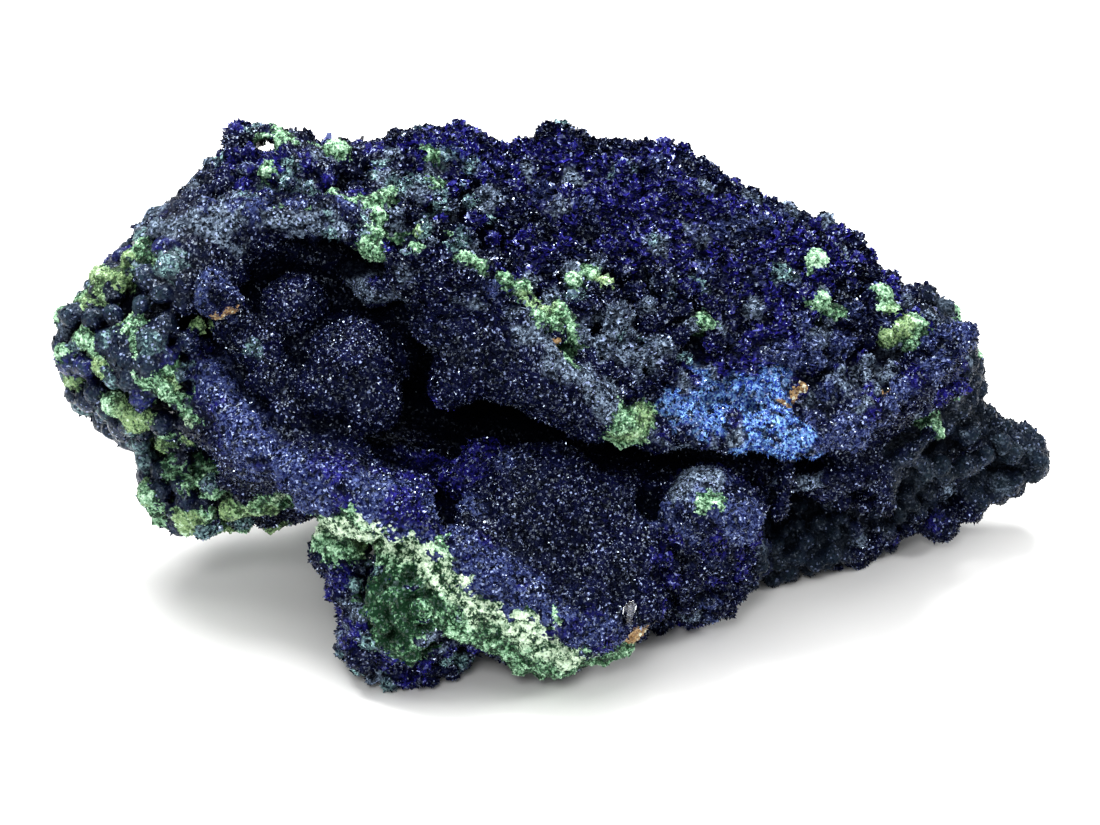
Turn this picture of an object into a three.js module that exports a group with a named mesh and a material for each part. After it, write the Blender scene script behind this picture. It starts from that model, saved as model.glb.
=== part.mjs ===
// An azurite specimen: one grown mass of botryoidal azurite with a druse-lined vug and malachite crusts.
// Its form is a blend of lobes, cut by hollows that hold druse balls, as one closed faceted solid.
// Millimetres, +Z up, +X along the specimen, the origin under the middle of its box.

import * as THREE from 'three';
import { MarchingCubes } from 'three/addons/objects/MarchingCubes.js';
import { ImprovedNoise } from 'three/addons/math/ImprovedNoise.js';
import { mergeVertices } from 'three/addons/utils/BufferGeometryUtils.js';

// Driving dimensions
const halfSpan = 64; // half the side of the cube of space that is sampled
const cell = 2.4; // sampling step, which sets the size of the facets
const lobeBlend = 3.0; // how softly two lobes run together
const hollowBlend = 1.6; // how softly a hollow's edge is rounded
const ballBlend = 1.6; // how softly a druse ball meets the wall behind it
const floorHeight = 0; // what lies under this is cut flat
const lumpHeight = 1.1; // height of the lumps all over the crust
const lumpWidth = 7; // spacing of those lumps
const clearance = 0.3; // least distance kept between the surface and a sampling point

// Lobes: [name, centre, half sizes, turn about X, Y and Z in degrees]
const lobes = [
  ['back core', [0, 13, 21], [40, 14, 19], [0, 8, 0]],
  ['back base', [-10, 18, 8], [17, 8, 10], [0, 0, 0]],
  ['left crest', [-31.5, 12, 45], [8, 6, 6], [0, 0, 0]],
  ['left shoulder', [-40, 6, 38], [8, 9, 6], [0, -45, 0]],
  ['upper crust, left', [-24, 7, 39.2], [18, 12, 7.5], [12, 0, 0]],
  ['middle crest', [-15, 15, 43.3], [10, 7, 6], [0, 0, 0]],
  ['crest knob', [0, 20, 45], [4, 4, 4], [0, 0, 0]],
  ['right crest', [11, 18, 40], [13, 7, 5.5], [0, 14, 0]],
  ['upper crust, middle', [4, 5, 34], [24, 19, 7], [27, 12, 0]],
  ['upper crust, right', [27, 8, 30], [16, 16, 6], [30, 16, 0]],
  ['rim, middle left', [-13, -1, 38], [9, 7, 4.5], [0, 6, 0]],
  ['rim, middle', [0, -7, 32], [10, 6, 3.5], [0, 36, 0]],
  ['rim plate, right', [32, -1, 24], [8, 5, 3.5], [20, 0, 0]],
  ['rim ledge, right', [41, 3, 26], [5, 5, 3.5], [10, 0, 0]],
  ['left end', [-43.3, 4, 28], [11, 11, 11], [0, 0, 0]],
  ['left lump', [-40, -1, 14.5], [6.5, 6, 6.5], [0, 0, 0]],
  ['left underside', [-32, 1, 15], [10, 8, 6.5], [0, 0, 0]],
  ['lip, left', [-32, -6, 22], [8, 7, 6], [0, 20, 0]],
  ['lip, middle', [-18, -12, 19], [13, 8, 4.5], [8, 24, 0]],
  ['lip, right', [-2, -17, 11], [13, 8, 5], [12, 30, 0]],
  ['lip, malachite edge', [-3.5, -20, 6.5], [9.5, 4.5, 4], [0, 24, 0]],
  ['foot', [-16, -18, 6], [7.5, 6.5, 8.5], [0, 0, 0]],
  ['front base', [9, -5, 8], [14, 9, 10], [0, 0, -15]],
  ['right base', [28, 6.5, 7], [18, 8, 9], [0, 0, 20]],
  ['right ledge', [31, -1, 15], [8, 5, 3.5], [10, 5, 0]],
  ['right end', [42.5, 14, 20], [7, 10, 12], [0, 0, 0]],
  ['tail', [50, 13, 10], [8.5, 5.5, 5.5], [0, 8, 0]],
  ['back ledge, upper', [-16, 20, 32], [15, 7, 5], [0, 6, 0]],
  ['back ledge, lower', [14, 20.5, 15], [17, 6.5, 6], [0, 10, 0]],
];

// Hollows, in the same form
const hollows = [
  ['vug', [-5, -7, 24.5], [16, 12, 5.2], [0, 16, 0]],
  ['left bowl', [-27, -5, 35.5], [12.5, 9, 8.5], [0, 0, 0]],
  ['hollow under the middle rim', [-9, -13, 31], [12, 9, 6.5], [0, 33, 0]],
  ['gap beside the curtain', [-14, -7, 29], [2, 7, 6], [0, 0, 0]],
  ['hollow under the right rim', [22.5, -7, 18.6], [6.5, 9, 3.8], [0, 5, 0]],
  ['right recess', [29, -3, 9], [6, 6, 3.5], [0, 0, 20]],
  ['rear hollow', [49, 8, 11], [3.5, 5, 2.5], [0, 0, 0]],
  ['left undercut', [-42, -7, 20], [6, 5, 2], [0, 0, 0]],
  ['back furrow', [-2, 28, 24], [22, 5, 2.5], [0, 12, 0]],
  ['back cave', [24, 28, 26], [7, 6, 4], [0, 0, 0]],
];

// Balls of druse that grew in and over the hollows, in the same form
const balls = [
  ['bowl ball, large', [-22, -3, 29.5], [6, 6, 6], [0, 0, 0]],
  ['bowl ball, small', [-32, -2, 31.5], [4, 4, 4], [0, 0, 0]],
  ['bowl bump', [-36, -1, 38], [3.5, 3.5, 3], [0, 0, 0]],
  ['curtain', [-6, -3, 32], [9, 5, 6.5], [0, 40, 0]],
  ['druse ball, large', [-2.2, -12, 16], [7.5, 7, 8], [0, 0, 0]],
  ['druse ball, right', [8, -13, 13], [7, 6, 6], [0, 0, 0]],
  ['druse mound, low', [4.5, -19.5, 8.5], [6, 5, 4], [0, 10, 0]],
  ['bun', [17, -13, 17.5], [5.5, 4.5, 3.8], [0, 10, 0]],
];

const noise = new ImprovedNoise();

// Signed distance to a turned ellipsoid, near enough for blending
function ellipsoid([, centre, half, turn]) {
  const [rx, ry, rz] = turn.map((degrees) => THREE.MathUtils.degToRad(degrees));
  const toLocal = new THREE.Matrix4()
    .makeRotationFromEuler(new THREE.Euler(rx, ry, rz))
    .setPosition(...centre)
    .invert();
  const local = new THREE.Vector3();
  return (point) => {
    local.copy(point).applyMatrix4(toLocal);
    const reach = Math.hypot(local.x / half[0], local.y / half[1], local.z / half[2]);
    const slope = Math.hypot(local.x / half[0] ** 2, local.y / half[1] ** 2, local.z / half[2] ** 2);
    return slope > 1e-6 ? (reach * (reach - 1)) / slope : -Math.min(...half);
  };
}

function smoothMin(a, b, softness) {
  const overlap = Math.max(softness - Math.abs(a - b), 0) / softness;
  return Math.min(a, b) - (overlap * overlap * softness) / 4;
}

const lobeShapes = lobes.map(ellipsoid);
const hollowShapes = hollows.map(ellipsoid);
const ballShapes = balls.map(ellipsoid);

// Signed distance to the whole specimen, negative inside
function specimen(point) {
  const lump = lumpHeight * noise.noise(point.x / lumpWidth, point.y / lumpWidth, point.z / lumpWidth);
  let distance = Infinity;
  for (const lobe of lobeShapes) distance = smoothMin(distance, lobe(point), lobeBlend);
  for (const hollow of hollowShapes) distance = -smoothMin(-distance, hollow(point), hollowBlend);
  for (const ball of ballShapes) distance = smoothMin(distance, ball(point), ballBlend);
  return Math.max(distance + lump, floorHeight - point.z);
}

function specimenGeometry() {
  const size = Math.round((2 * halfSpan) / cell);
  const surface = new MarchingCubes(size, new THREE.MeshBasicMaterial(), false, false, 30000);
  surface.isolation = 0;
  const point = new THREE.Vector3();
  const half = size / 2;
  const step = halfSpan / half;
  for (let z = 0; z < size; z++) {
    for (let y = 0; y < size; y++) {
      for (let x = 0; x < size; x++) {
        point.set((x - half) * step, (y - half) * step, (z - half) * step);
        const depth = -specimen(point);
        // kept off zero, so that no facet shrinks to a sliver at a sampling point
        surface.setCell(x, y, z, Math.sign(depth || 1) * Math.max(Math.abs(depth), clearance));
      }
    }
  }
  surface.update();
  const corners = surface.positionArray.slice(0, surface.count * 3).map((value) => value * halfSpan);
  const geometry = new THREE.BufferGeometry();
  geometry.setAttribute('position', new THREE.BufferAttribute(corners, 3));
  geometry.computeBoundingBox();
  const middle = geometry.boundingBox.getCenter(new THREE.Vector3());
  geometry.translate(-middle.x, -middle.y, -geometry.boundingBox.min.z);
  return mergeVertices(geometry, 1e-3);
}

const azurite = new THREE.MeshStandardMaterial({ color: 0x14163f, roughness: 0.35, metalness: 0 });
const mass = new THREE.Mesh(specimenGeometry(), azurite);
mass.name = 'azurite_mass';

const group = new THREE.Group();
group.add(mass);
export default group;
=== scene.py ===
# An azurite specimen: botryoidal azurite with a druse-lined vug and malachite crusts, on a pale floor.
import math
import bpy
import numpy as np
import openvdb as vdb
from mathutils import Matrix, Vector


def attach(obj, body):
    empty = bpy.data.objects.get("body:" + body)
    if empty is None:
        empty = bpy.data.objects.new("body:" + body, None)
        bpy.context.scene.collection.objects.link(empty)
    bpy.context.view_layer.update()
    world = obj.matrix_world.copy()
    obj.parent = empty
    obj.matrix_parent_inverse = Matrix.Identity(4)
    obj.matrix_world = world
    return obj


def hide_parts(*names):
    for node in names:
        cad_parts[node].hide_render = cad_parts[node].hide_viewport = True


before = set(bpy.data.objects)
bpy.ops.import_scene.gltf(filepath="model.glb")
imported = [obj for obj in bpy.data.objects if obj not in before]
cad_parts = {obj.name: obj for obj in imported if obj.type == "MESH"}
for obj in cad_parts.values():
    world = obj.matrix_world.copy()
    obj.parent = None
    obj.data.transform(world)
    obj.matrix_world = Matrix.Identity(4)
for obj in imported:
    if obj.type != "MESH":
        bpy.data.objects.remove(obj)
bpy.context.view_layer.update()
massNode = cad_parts["azurite_mass"]
mm = 0.001  # every length below is in millimetres until a mesh is made
scene = bpy.context.scene

# The crust's shape is kept as distances to its surface on a regular grid, negative inside
crust = {
    "cell": 0.45,         # spacing of the grid
    "margin": 6.0,        # room kept round the mass
    "faces": 197000,      # what the finished surface is thinned to
    "softening": 1.0,     # how far the flat facets are rounded away
    "relief": 1.1,        # reach over which a place counts as proud or sunk
    "shelter": 3.2,       # reach over which it counts as sheltered
    "lumps": [(3.4, 0.40, 11), (1.2, 0.24, 12)],   # spacing, height and seed of each layer of lumps
    "underside": 0.02,    # height below which the mass is cut flat
}
blends = {
    # how softly each kind of feature runs into the mass
    "hollow": 1.0, "late hollow": 0.6, "slot": 0.6, "long cut": 2.0, "rim": 2.6, "rim backing": 1.8,
    "ridge": 1.2, "lip": 1.8, "arch": 0.5, "arch hole": 0.2, "druse ball": 0.7, "curtain": 2.4, "knob": 0.5,
    "bead": 0.2,
}
thickness = {"rim": 0.8, "rim backing": 1.3, "ridge": 0.6, "lip": 0.9, "arch": 0.8}   # radii of the rods


def arraysOf(mesh):
    # where a mesh's points are, and its triangles
    mesh.calc_loop_triangles()
    places = np.empty(len(mesh.vertices) * 3, np.float32)
    mesh.vertices.foreach_get("co", places)
    triangles = np.empty(len(mesh.loop_triangles) * 3, np.int32)
    mesh.loop_triangles.foreach_get("vertices", triangles)
    return places.reshape(-1, 3), triangles.reshape(-1, 3)


def samplesOfMass():
    points, corners = arraysOf(massNode.data)
    merged, places = np.unique((points / mm).round(3), axis=0, return_inverse=True)
    corners = places.reshape(-1)[corners]
    cell, margin = crust["cell"], crust["margin"]
    grid = vdb.FloatGrid.createLevelSetFromPolygons(
        merged.astype(np.float32), triangles=corners.astype(np.uint32),
        transform=vdb.createLinearTransform(voxelSize=cell), halfWidth=margin / cell)
    low = np.floor((merged.min(axis=0) - margin) / cell).astype(int)
    count = np.ceil((merged.max(axis=0) + margin) / cell).astype(int) - low
    distance = np.zeros(count, np.float32)
    grid.copyToArray(distance, ijk=tuple(int(i) for i in low))
    axes = [(low[i] + np.arange(count[i])) * cell for i in range(3)]
    return low, axes, distance


def soften(values, reach):
    for _ in range(round(2 * (reach / crust["cell"]) ** 2)):
        for axis in range(3):
            sides = np.roll(values, 1, axis) + np.roll(values, -1, axis)
            values = 0.5 * values + 0.25 * sides
    return values


gridLow, gridAxes, field = samplesOfMass()
gridStart = np.array([axis[0] for axis in gridAxes])
field = soften(field, crust["softening"])
print("crust sampled on", field.shape)


def near(low, high):
    # the part of the grid between two corners, and where its points are along each axis
    spans = []
    for axis, values in enumerate(gridAxes):
        first, last = np.searchsorted(values, [low[axis], high[axis]])
        spans.append(slice(max(first, 0), max(last, first + 1)))
    x, y, z = (gridAxes[i][spans[i]] for i in range(3))
    return tuple(spans), x[:, None, None], y[None, :, None], z[None, None, :]


def softMin(a, b, blend):
    # the lesser of two distances, rounded off where they are nearly equal
    overlap = np.maximum(blend - np.abs(a - b), 0) / blend
    return np.minimum(a, b) - overlap * overlap * blend / 4


def grow(spans, gap, blend):
    # adds a form to the crust, given its distances on part of the grid
    field[spans] = softMin(field[spans], gap, blend)


def carve(spans, gap, blend):
    field[spans] = -softMin(-field[spans], gap, blend)


def gapToBall(centre, radius, blend):
    reach = radius + blend + 1
    spans, x, y, z = near([c - reach for c in centre], [c + reach for c in centre])
    return spans, np.sqrt((x - centre[0]) ** 2 + (y - centre[1]) ** 2 + (z - centre[2]) ** 2) - radius


def gapToRod(start, end, radius, blend):
    start, end = np.array(start, float), np.array(end, float)
    reach = radius + blend + 1
    spans, x, y, z = near(np.minimum(start, end) - reach, np.maximum(start, end) + reach)
    along = end - start
    share = (x - start[0]) * along[0] + (y - start[1]) * along[1] + (z - start[2]) * along[2]
    share = np.clip(share / max(along @ along, 1e-6), 0, 1)
    gap = np.sqrt((x - start[0] - share * along[0]) ** 2 + (y - start[1] - share * along[1]) ** 2
                  + (z - start[2] - share * along[2]) ** 2) - radius
    return spans, gap


def gapToHollow(centre, half, blend):
    reach = max(half) + blend + 1
    spans, x, y, z = near([c - reach for c in centre], [c + reach for c in centre])
    parts = [(x - centre[0]) / half[0], (y - centre[1]) / half[1], (z - centre[2]) / half[2]]
    length = np.sqrt(sum(p * p for p in parts))
    slope = np.sqrt(sum((p / h) ** 2 for p, h in zip(parts, half)))
    return spans, length * (length - 1) / np.maximum(slope, 1e-4)


def addBalls(balls, kind):
    for centre, radius in balls:
        grow(*gapToBall(centre, radius, blends[kind]), blends[kind])


def addRods(paths, kind):
    for path in paths:
        for start, end in zip(path, path[1:]):
            grow(*gapToRod(start, end, thickness[kind], blends[kind]), blends[kind])


def cutSlots(slots, kind):
    for path, radius in slots:
        for start, end in zip(path, path[1:]):
            carve(*gapToRod(start, end, radius, blends[kind]), blends[kind])


def cutHollows(hollows, kind):
    for centre, half in hollows:
        carve(*gapToHollow(centre, half, blends[kind]), blends[kind])


def lattice(spacing, seed):
    # random values on a coarse grid, which noise of that spacing runs between
    draw = np.random.default_rng(seed)
    count = [int(len(axis) * crust["cell"] / spacing) + 3 for axis in gridAxes]
    return draw.uniform(-1, 1, count).astype(np.float32)


def lumpLayer(spacing, seed):
    values = lattice(spacing, seed)
    for axis, places in enumerate(gridAxes):
        at = (places - places[0]) / spacing
        first = at.astype(int)
        share = at - first
        share = (share * share * (3 - 2 * share)).astype(np.float32)
        share = share.reshape([-1 if i == axis else 1 for i in range(3)])
        values = np.take(values, first, axis) * (1 - share) + np.take(values, first + 1, axis) * share
    return values


def readAt(values, at):
    # values between the points of a grid, at places counted in its steps
    at = np.clip(at, 0, np.array(values.shape) - 1.001)
    first = at.astype(int)
    share = at - first
    total = np.zeros(len(at))
    for corner in np.ndindex(2, 2, 2):
        weight = np.prod(np.where(corner, share, 1 - share), axis=1)
        total += weight * values[tuple((first + corner).T)]
    return total


def wobble(points, spacing, seed):
    # noise of the same kind at any points inside the grid
    return readAt(lattice(spacing, seed), (points - gridStart) / spacing)


def surfaceOf(values):
    grid = vdb.FloatGrid()
    grid.transform = vdb.createLinearTransform(voxelSize=crust["cell"])
    grid.background = crust["margin"]
    grid.copyFromArray(np.ascontiguousarray(values, np.float32), ijk=tuple(int(i) for i in gridLow))
    places, triangles, quads = grid.convertToPolygons(isovalue=0.0, adaptivity=0.0)
    return places.astype(float), np.vstack([triangles, quads[:, [0, 1, 2]], quads[:, [0, 2, 3]]]).astype(int)


def largestPart(places, faces):
    # leaves out specks that float free and hollows that nothing reaches
    part = np.arange(len(places))
    while True:
        least = part[faces].min(axis=1)
        lower = part.copy()
        for corner in range(3):
            np.minimum.at(lower, faces[:, corner], least)
        lower = lower[lower]
        if (lower == part).all():
            break
        part = lower
    main = np.bincount(part).argmax()
    kept = faces[part[faces[:, 0]] == main]
    used, renumbered = np.unique(kept, return_inverse=True)
    return places[used], renumbered.reshape(kept.shape)


# Hollows that go deeper than the plain mass: centre and half sizes
hollows = {
    "vug": [(-6, -3, 26), (14, 11, 4.4)],
    "vug throat": [(-13.5, -6, 28), (3.6, 8, 7)],
    "vug, over the lip": [(-16.5, -10, 23.2), (7, 5.6, 4)],
    "behind the big ball": [(-3, -4.6, 20.5), (9, 4.2, 5)],
    "left of the big ball": [(-13.2, -13.5, 19.8), (1.9, 5, 3.8)],
    "top of the slope": [(1, 18.5, 54), (9.5, 12, 7.5)],
    "beside the dome": [(-8.8, 14, 53), (3, 9, 7)],
    "crest beside the arch": [(-27, 12, 55), (6, 9, 6.4)],
    "under the front base": [(18.5, -8.5, -0.5), (6.5, 5, 3.4)],
    "bowl corner": [(-26.6, -1, 41.4), (4.6, 5, 3.2)],
    "behind the bowl ball": [(-31, -3, 36.5), (5.5, 4.5, 3)],
    "gap in the lip": [(-34, -12, 24.8), (1, 3, 1.2)],
    "right recess": [(22, -5, 17.4), (5.2, 6, 2.6)],
    "right cave": [(26, -4, 10), (5.5, 5, 3.4)],
    "back cave": [(22, 25, 26), (6, 5, 3.4)],
    "back furrow": [(-6, 25, 25), (16, 4, 1.8)],
}
cutHollows(hollows.values(), "hollow")

lateHollows = {   # cut once the balls have grown
    "pocket over the lip": [(-13.8, -16.4, 18), (1.7, 4, 3.8)],
    "left lump": [(-43.4, -8, 18.6), (3.2, 3, 1.9)],
    "bowl corner": [(-25.4, -2, 41.2), (2.6, 4.6, 2.2)],
    "beside the left lump": [(-38.6, -9.4, 21), (1.6, 2.2, 1.1)],
    "under the dome": [(-13.6, 8.2, 47.4), (2.6, 2.4, 1.8)],
    "beside the bun": [(8.2, -14, 18.4), (1.7, 3.4, 2.2)],
    "low right, upper": [(24, -5.5, 12.2), (3.4, 3.6, 1.6)],
    "low right, lower": [(33, -2, 11), (3.4, 3.6, 1.2)],
}
slots = {
    "bowl crevice": ([(-30, -7, 32), (-29.5, -8, 27)], 0.8),
    "beside the curtain": ([(-16.7, -7, 33), (-16, -9, 27)], 1.5),
    "under the right rim": ([(8.5, -13.5, 22.4), (14, -12.5, 22)], 0.9),
    "right slit": ([(31, -5.5, 14.3), (35, -3.5, 13.4), (39.3, -0.5, 12.2)], 0.8),
    "under the rim ledge": ([(30.5, -5.5, 19.5), (36, -3, 20.5), (40, 1, 22)], 0.7),
}
longCuts = {
    "falling line of the top": ([(18, 17, 50.8), (28, 16.5, 44.9), (36, 15.5, 40.4), (44, 14, 33.4)], 7.5),
    "steep right end over the tail": ([(50.6, 14, 34), (50.8, 14, 26.5)], 7),
}
cutSlots(slots.values(), "slot")
cutSlots(longCuts.values(), "long cut")

# Broken rims of the crust, the lip of the vug and ridges at the right
rims = {
    "upper left": [(-43, 1.2, 42.7), (-39, 1.6, 44.6), (-34.5, 1, 44.9), (-29, 0.3, 44.5), (-25.7, 0, 44.9)],
    "wall": [(-25.7, 0, 44.9), (-24.8, -1.4, 42.4), (-23.6, 0.6, 38), (-21, -3, 37.5), (-18.3, -6, 40.3)],
    "middle": [(-18.3, -6, 40.3), (-15.6, -6.7, 41), (-12, -7.6, 40), (-8.8, -8, 38.7), (-5.6, -10, 37),
               (-3, -12, 34.7), (0, -13, 32), (3.2, -13.4, 29.6), (6, -12.8, 26.4), (9, -12, 24.4)],
    "right": [(9, -12, 24.4), (16.2, -12, 24.4), (21.7, -10, 23.5), (25, -9, 22.7), (30.5, -8, 23.8),
              (33.8, -6, 25.8), (36.5, -4.5, 27), (39.8, -2, 28.8), (42.5, 1.5, 30)],
}
ridges = {
    "outer right": [(22.8, -7.5, 21), (23.2, -8.5, 18), (22.4, -9.5, 14)],
    "ledge": [(24, -7, 16.2), (28, -6, 16.6), (33, -5, 16), (36.5, -3, 17.4), (40, 0, 19)],
    "right flank": [(36.5, -3, 17.8), (39, -0.5, 15.2), (41.5, 2, 12.4), (45, 4, 12.6), (49, 6, 13.6)],
    "tail": [(44, 4, 17), (49, 6.5, 14.6), (54, 9, 10.5)],
    "low right": [(26, -7, 7.5), (31, -4.5, 8), (36, -1.5, 8.6), (41, 2, 10)],
}
lip = [(-40.5, -5.5, 29.5), (-38.8, -7, 28.6), (-36.5, -10, 27), (-34, -14, 24.4), (-28.5, -18, 23.2),
       (-23, -19.6, 22), (-18, -19.4, 20.2), (-14, -20.5, 16.6), (-7.7, -24.4, 14), (-1.5, -25.2, 10.6),
       (2.7, -25, 8.3)]
malachiteEdge = [(-43, -5, 17.5), (-36, -9, 15.5), (-31, -11, 15), (-27, -17, 17.5), (-22, -20.5, 17.5),
                 (-18, -21, 16), (-15, -22.4, 13.4), (-11, -24.6, 10.6), (-5.6, -25.6, 8), (-1.5, -25.4, 6),
                 (2.8, -24.4, 4.8)]
creamEdge = [(-30, -12, 17.2), (-24, -20, 18.6), (-18, -21.4, 17.6), (-14.5, -22.6, 15), (-10.5, -25, 12.6),
             (-6, -26, 10.4), (-3, -26, 8.2)]
# What closes the crust behind the right rim, and the small arch on the crest
rimBacking = [(11.5, -11.2, 25.4), (16.6, -10.4, 25.4), (21.6, -8.6, 24.6)]
smallArch = [(-35, 10, 49.4), (-33.6, 10.5, 50.4), (-32, 10.8, 49.2)]
addRods(rims.values(), "rim")
addRods(ridges.values(), "ridge")
addRods([lip], "lip")
addRods([rimBacking], "rim backing")
addRods([smallArch], "arch")

# Balls of druse in and over the hollows, then single knobs: centre and radius
druseBalls = {
    "ultramarine": ((-9.3, -9.5, 20.2), 2.6),
    "deep glow": ((-12.6, -11.8, 19.2), 2.1),
    "big": ((-4.7, -13, 15.6), 7.2),
    "slope": ((4.6, -13.2, 17.2), 3.6),
    "small": ((3.2, -18.4, 12.4), 4.2),
    "mound": ((1.4, -23.2, 11.2), 2.6),
    "low right": ((6.5, -20.5, 9.5), 3.2),
    "bowl large": ((-23.6, -8, 31.6), 4.6),
    "bowl large, low": ((-22, -9, 28), 3.9),
    "bowl large, left": ((-26.6, -9, 28.8), 3.6),
    "bowl middle": ((-33.8, -5.6, 32.8), 2.9),
    "bowl middle, low": ((-32, -7.6, 29.4), 2.9),
    "bowl low": ((-30, -10.4, 26.2), 2.6),
    "bowl wall, left": ((-36.6, -3.6, 34.2), 2.8),
    "bowl wall": ((-30, -2.4, 35.6), 3.6),
    "bowl bump": ((-37.4, -5.4, 37.8), 2.1),
}
addBalls(druseBalls.values(), "druse ball")

# Bulges that hang from the middle rim and run together
curtain = [((-14.2, -7.4, 36.4), 3.2), ((-9.6, -8.6, 35), 3.6), ((-11.6, -8.4, 32.2), 3),
           ((-6.4, -9.6, 31.6), 3.6), ((-3.2, -10.6, 31.4), 3.2), ((-1.2, -11.2, 28.6), 2.8),
           ((2.4, -11.6, 26.8), 2.2), ((-12.7, -8.8, 29.4), 2.7)]
addBalls(curtain, "curtain")

knobs = {
    "crest, left": ((-36.4, 12, 48.6), 2),
    "left end dark": ((-54, -1.5, 30.2), 2.2),
    "left end": ((-52.5, -1.5, 33.2), 1.9),
    "left lower": ((-51.5, -2.5, 26.4), 2),
    "beside the bowl": ((-41.4, -4.4, 32.8), 2),
    "beside the bowl, low": ((-40.6, -5.6, 30.8), 1.7),
    "right rosette": ((27, 5.4, 35.4), 1.9),
    "right rosette, front": ((26.2, 2.6, 33.6), 1.7),
    "right cluster": ((34, 2.4, 30.6), 2),
    "right cluster, outer": ((38.4, 3.6, 29.6), 2.1),
    "pale ball, high": ((4.4, -6.6, 35), 1.7),
    "pale ball, front": ((6.5, -8.6, 32), 1.6),
    "pale ball, right": ((9.4, -7.6, 31.6), 1.9),
    "malachite boss": ((-18, -23.4, 10.6), 3.3),
    "malachite boss, low": ((-16.6, -24.2, 7.6), 2.4),
    "bun top": ((14, -14.4, 18.4), 3.4),
    "beside the foot": ((-24.7, -17.2, 13.5), 3.1),
    "beside the foot, low": ((-23.8, -18.4, 10.8), 2.6),
    "under the tail": ((42.5, 8, 4.2), 3),
    "under the tail, middle": ((46, 9, 5.6), 3),
    "under the tail, outer": ((49, 10.5, 6.8), 2.6),
    "knuckle": ((-2.2, 17.2, 46.6), 1.8),
    "top dome": ((-14.5, 12.5, 45), 3.2),
}
addBalls(knobs.values(), "knob")

# Botryoids: small balls that crowd on the outside, with dug gaps between them
botryoids = [
    # centre and half sizes of the zone, spacing, radii, how deep a ball sits, how far the gaps are dug, seed,
    # and the share of balls of each mineral
    (((-50, 2, 30), (13, 14, 15)), 2.2, (1, 1.6), 0.3, 2, 21,
     {"green": 0.13, "lime": 0.10, "teal": 0.20, "pale": 0.05, "deep": 0.08}),
    (((-42, -3, 14), (11, 10, 9)), 2.1, (0.95, 1.5), 0.3, 1.8, 22,
     {"green": 0.14, "lime": 0.14, "pale": 0.06, "teal": 0.08}),
    (((-34, 9, 47), (13, 9, 8)), 1.7, (0.75, 1.2), 0.6, 1.1, 23,
     {"green": 0.04, "teal": 0.12, "pale": 0.08, "deep": 0.12}),
    (((-17, 2, 44), (12, 10, 7)), 1.6, (0.65, 1.1), 0.45, 1.2, 24,
     {"green": 0.07, "teal": 0.26, "pale": 0.20, "deep": 0.12}),
    (((5, -6, 35), (12, 8, 8)), 1.85, (0.85, 1.35), 0.35, 1.3, 25,
     {"pale": 0.36, "green": 0.03, "teal": 0.08}),
    (((33, 2, 29), (13, 10, 8)), 1.75, (0.75, 1.25), 0.5, 1.1, 26,
     {"green": 0.03, "pale": 0.2, "deep": 0.22, "violet": 0.12}),
    (((48, 12, 18), (14, 15, 17)), 2, (0.95, 1.5), 0.95, 1.1, 28,
     {"pale": 0.05}),
    (((-18, -21, 6), (9, 8, 9)), 1.6, (0.75, 1.2), 0.3, 1.1, 29,
     {"deep": 0.32, "teal": 0.14, "pale": 0.26}),
    (((15, -15, 8), (11, 9, 10)), 1.7, (0.75, 1.3), 0.45, 1.1, 32,
     {"deep": 0.2, "pale": 0.1, "violet": 0.08}),
    (((24, 0, 6), (24, 11, 9)), 1.95, (0.85, 1.4), 0.55, 1.1, 30,
     {"pale": 0.05, "deep": 0.06}),
    (((14, 4, 39), (32, 18, 11)), 2.2, (1, 1.7), 0.9, 1, 27,
     {"deep": 0.36, "violet": 0.2, "pale": 0.07, "teal": 0.02}),
    (((0, 24, 22), (60, 14, 30)), 2.3, (1, 1.7), 0.5, 1.1, 31,
     {"green": 0.06, "lime": 0.03, "pale": 0.06, "teal": 0.04, "deep": 0.2}),
]
# Where no botryoids grow, then the zones inside where shade is painted into the colour and crystals thin out
# and glint less: centre and half sizes
openSpaces = [((-6, -9, 24), (17, 12, 7)), ((-28, -4, 35), (12, 9, 8.5)), ((-8, -13, 30), (11, 8, 7)),
              ((-4.7, -13, 16), (9, 9, 9)), ((3, -18, 12), (7, 7, 6))]
paintedShadeZones = [((-6, -1.5, 24), (15, 7.5, 9)), ((-24.6, -0.5, 41), (4.4, 4, 3.4)), ((-15.5, -4, 30), (3, 6, 7)),
          ((-17, -10, 22), (6, 4.5, 3.4)), ((-14.2, -17, 16), (2.2, 3.4, 2.6)), ((25, -3, 10), (6, 4.5, 3.6))]

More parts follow.
